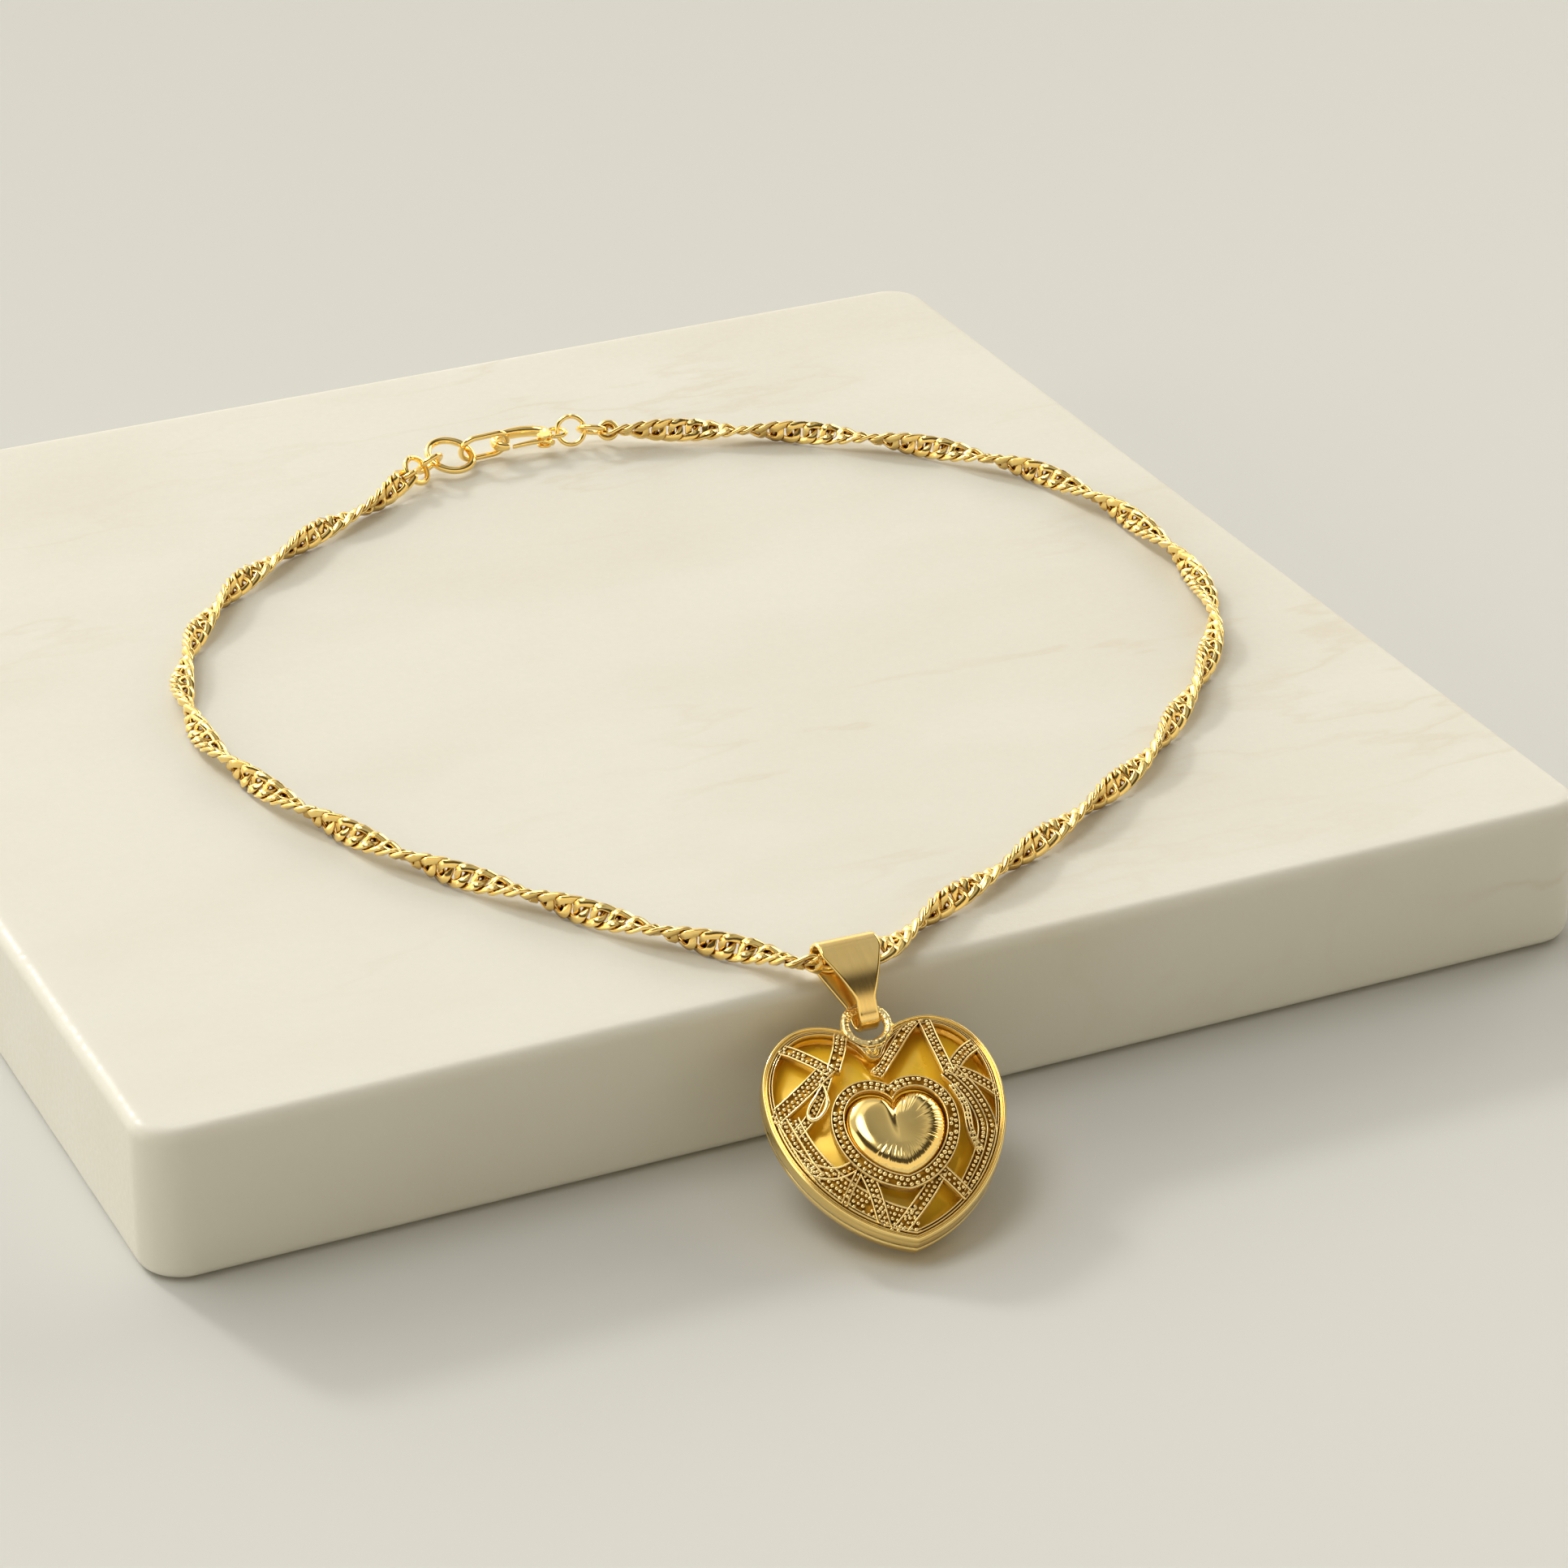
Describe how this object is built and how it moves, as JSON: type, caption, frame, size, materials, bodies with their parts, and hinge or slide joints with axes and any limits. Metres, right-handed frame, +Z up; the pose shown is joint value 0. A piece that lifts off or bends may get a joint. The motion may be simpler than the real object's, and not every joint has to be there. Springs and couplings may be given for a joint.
{
  "type": "heart pendant necklace on a display slab",
  "caption": "Pierced gold-coloured heart pendant on a tapered bail and a twisted-link chain with a lobster clasp, laid in a closed loop on a square stone display slab.",
  "frame": {"origin": "centre of the display slab's underside", "axes": "+X to the right along the slab's front edge, +Y from front to back, +Z up"},
  "size_m": [0.17, 0.1999, 0.0221],
  "materials": {
    "marble": "honed cream marble with faint beige veins",
    "gold_chain": "polished yellow gold plate",
    "gold_polished": "polished yellow gold plate",
    "gold_satin": "satin yellow gold plate",
    "gold_beaded": "beaded yellow gold plate, darker between the grains",
    "gold_deep": "polished deep yellow gold plate"
  },
  "bodies": {
    "base": {"display_slab": "marble", "chain": "gold_chain", "jump_ring_left_1": "gold_polished", "jump_ring_left_2": "gold_polished", "end_ring": "gold_polished", "oval_link": "gold_polished", "jump_ring_right_1": "gold_polished", "jump_ring_right_2": "gold_polished", "clasp_body": "gold_polished"},
    "bail": {"bail": "gold_satin"},
    "heart": {"heart_case": "gold_polished", "heart_plate": "gold_deep", "filigree_front": "gold_beaded", "center_heart": "gold_satin"},
    "clasp_lever": {"clasp_lever": "gold_polished"}
  },
  "joints": [
    {"name": "bail_swing", "type": "hinge", "parent": "base", "child": "bail", "pos_m": [-0.0077, -0.0854, 0.02], "axis": [-0.9994, 0.0349, 0], "range_deg": [0, 70]},
    {"name": "heart_swing", "type": "hinge", "parent": "bail", "child": "heart", "pos_m": [-0.00784, -0.08952, 0.01596], "axis": [-0.9748, 0.2233, 0], "range_deg": [0, 75]},
    {"name": "clasp_lever_turn", "type": "hinge", "parent": "base", "child": "clasp_lever", "pos_m": [0.01654, 0.05252, 0.0197], "axis": [0, 0, -1], "range_deg": [0, 18], "stiffness_Nm_per_rad": 0.002, "springref_deg": -17.19}
  ]
}
